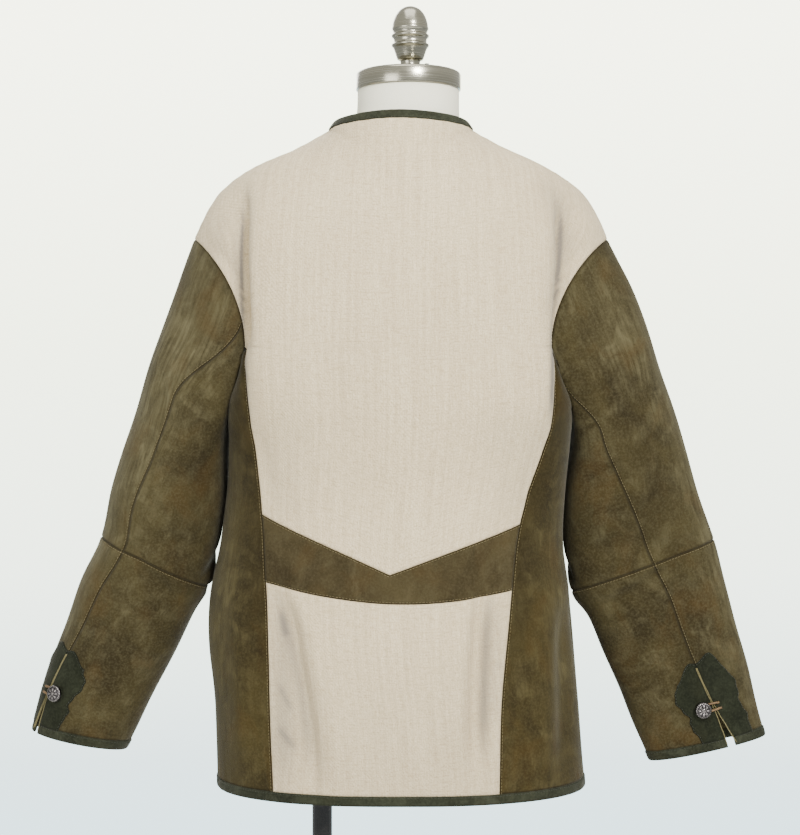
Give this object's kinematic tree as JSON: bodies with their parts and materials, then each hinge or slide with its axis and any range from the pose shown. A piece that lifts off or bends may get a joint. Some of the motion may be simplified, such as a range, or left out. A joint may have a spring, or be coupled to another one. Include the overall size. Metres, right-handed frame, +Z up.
{
  "type": "leather jacket on a dress form",
  "caption": "Collarless suede jacket with a linen twill back, an inset waist belt and buttoned cuff vents, on a limbless dress form with a pole stand.",
  "frame": {"origin": "on the floor, at the middle of the bounding box of the part seen from above", "axes": "+Z is up, the front of the jacket faces -Y and its back faces +Y, and the wearer's left side is at +X"},
  "size_m": [0.8006, 0.38, 1.5216],
  "materials": {
    "twill": "natural linen and wool twill, melange",
    "suede": "olive brown suede, matt and mottled",
    "belt_suede": "lighter olive brown suede",
    "green_suede": "dark green suede",
    "tan_leather": "smooth tan leather",
    "button_metal": "antique silver, worn bright on top",
    "form_cover": "ivory jersey over a hard form",
    "steel": "brushed",
    "black_paint": "gloss black"
  },
  "bodies": {
    "root": {"back_upper": "twill", "back_lower": "twill", "back_belt": "belt_suede", "side_left": "suede", "side_right": "suede", "front_right": "suede", "front_left": "suede", "edge_binding_right": "green_suede", "edge_binding_left": "green_suede", "hem_binding": "green_suede", "neck_binding": "green_suede", "sleeve_top_upper_left": "suede", "sleeve_top_lower_left": "suede", "sleeve_under_upper_left": "suede", "sleeve_under_lower_left": "suede", "cuff_binding_left": "green_suede", "cuff_patch_top_left": "green_suede", "cuff_patch_under_left": "green_suede", "cuff_button_left": "button_metal", "cuff_loop_left": "tan_leather", "pocket_flap_left": "green_suede", "sleeve_top_upper_right": "suede", "sleeve_top_lower_right": "suede", "sleeve_under_upper_right": "suede", "sleeve_under_lower_right": "suede", "cuff_binding_right": "green_suede", "cuff_patch_top_right": "green_suede", "cuff_patch_under_right": "green_suede", "cuff_button_right": "button_metal", "cuff_loop_right": "tan_leather", "pocket_flap_right": "green_suede", "front_button_1": "button_metal", "front_button_2": "button_metal", "front_button_3": "button_metal", "front_button_4": "button_metal", "front_button_5": "button_metal", "form": "form_cover", "neck_cap": "steel", "finial": "steel", "thumb_screw": "black_paint", "base": "black_paint", "pole": "black_paint", "pole_socket": "black_paint"}
  },
  "joints": []
}
